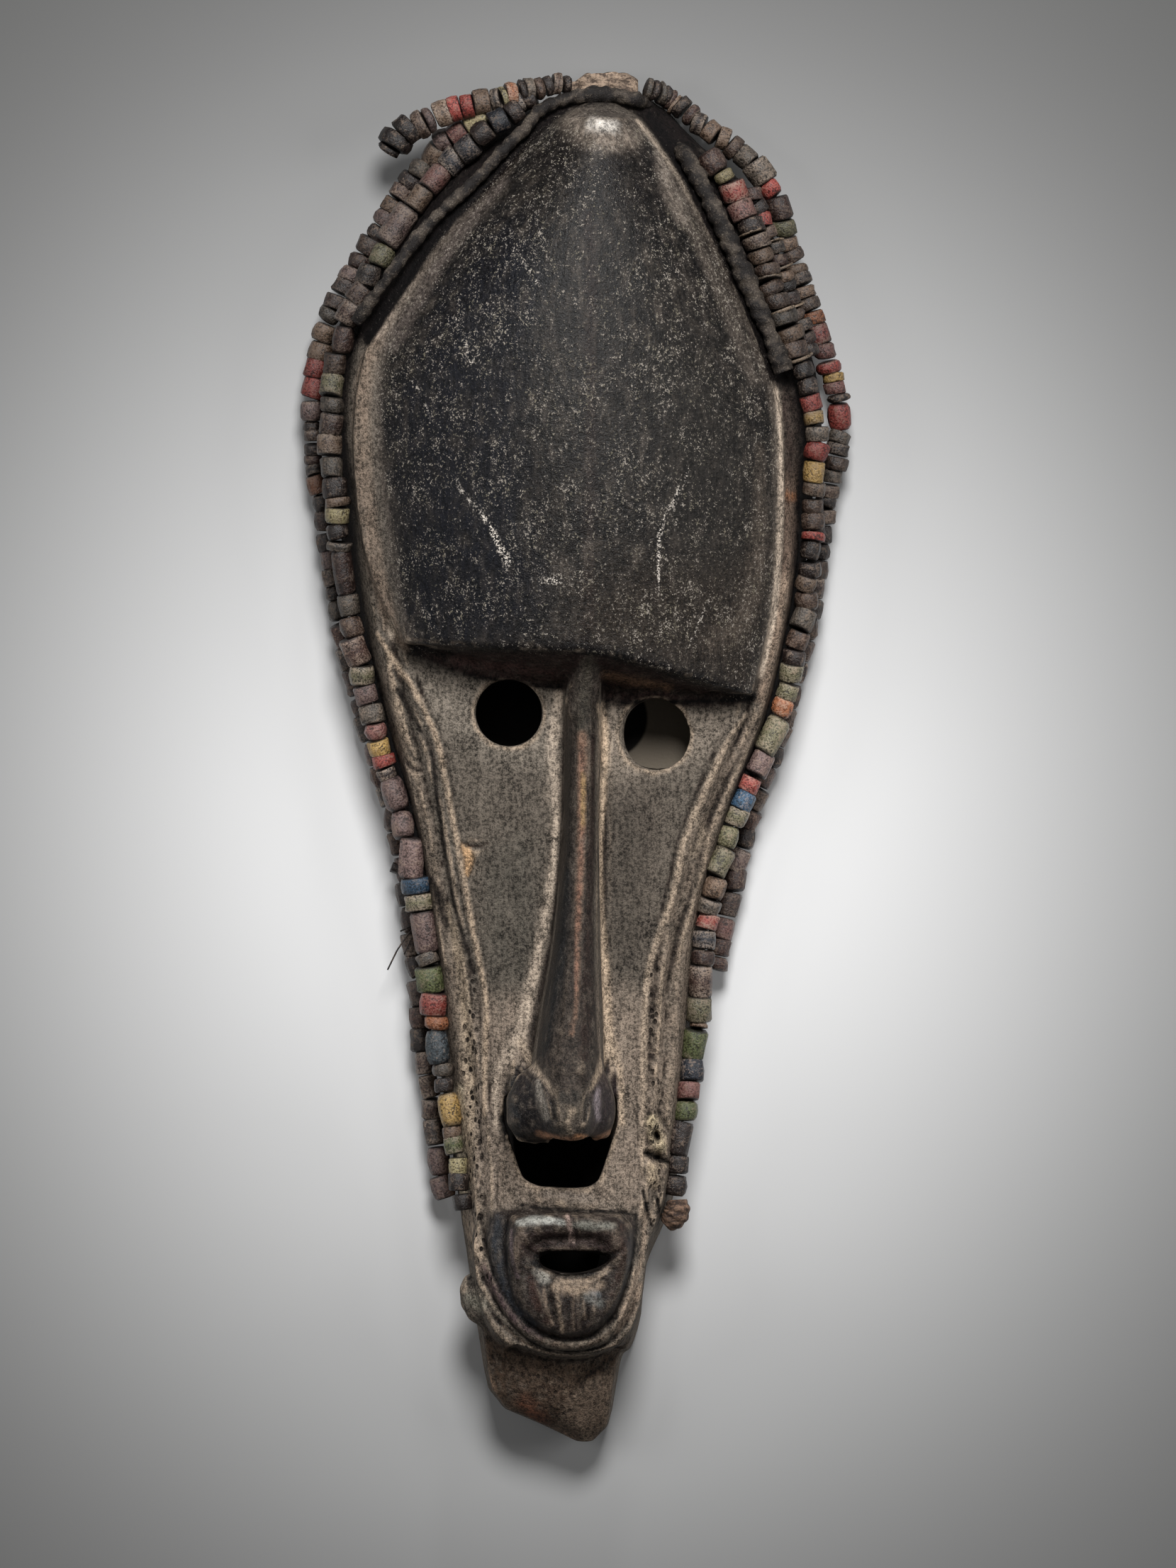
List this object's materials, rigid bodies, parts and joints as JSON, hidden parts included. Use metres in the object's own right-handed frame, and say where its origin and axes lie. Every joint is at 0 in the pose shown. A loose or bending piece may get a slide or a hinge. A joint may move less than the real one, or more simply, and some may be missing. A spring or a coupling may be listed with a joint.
{
  "type": "dan mask",
  "caption": "Long carved wooden face mask with a domed leaf-shaped forehead, round eye holes, a long nose, an open mouth and strings of old beads bound round its rim.",
  "frame": {"origin": "middle of the mask's outline, on the plane of its back rim", "axes": "+Z out of the face, +Y towards the crown, +X to the right as one looks at the face"},
  "size_m": [0.2001, 0.4971, 0.0895],
  "materials": {
    "carved_wood": "old dark wood, polished black on the forehead and worn pale along its edges",
    "old_beads": "dusty fired clay and glass paste in mud brown, brick red, olive, mustard and slate blue",
    "dark_cord": "hard twisted fibre, dark with age",
    "worn_hide": "dry creased hide"
  },
  "bodies": {
    "root": {"carved_mask": "carved_wood", "left_outer_bead_string": "old_beads", "left_inner_bead_string": "old_beads", "right_outer_bead_string": "old_beads", "right_inner_bead_string": "old_beads", "crown_bead_string": "old_beads", "forehead_cord": "dark_cord", "crown_hide_strip": "worn_hide", "right_string_end_wrap": "worn_hide"}
  },
  "joints": []
}
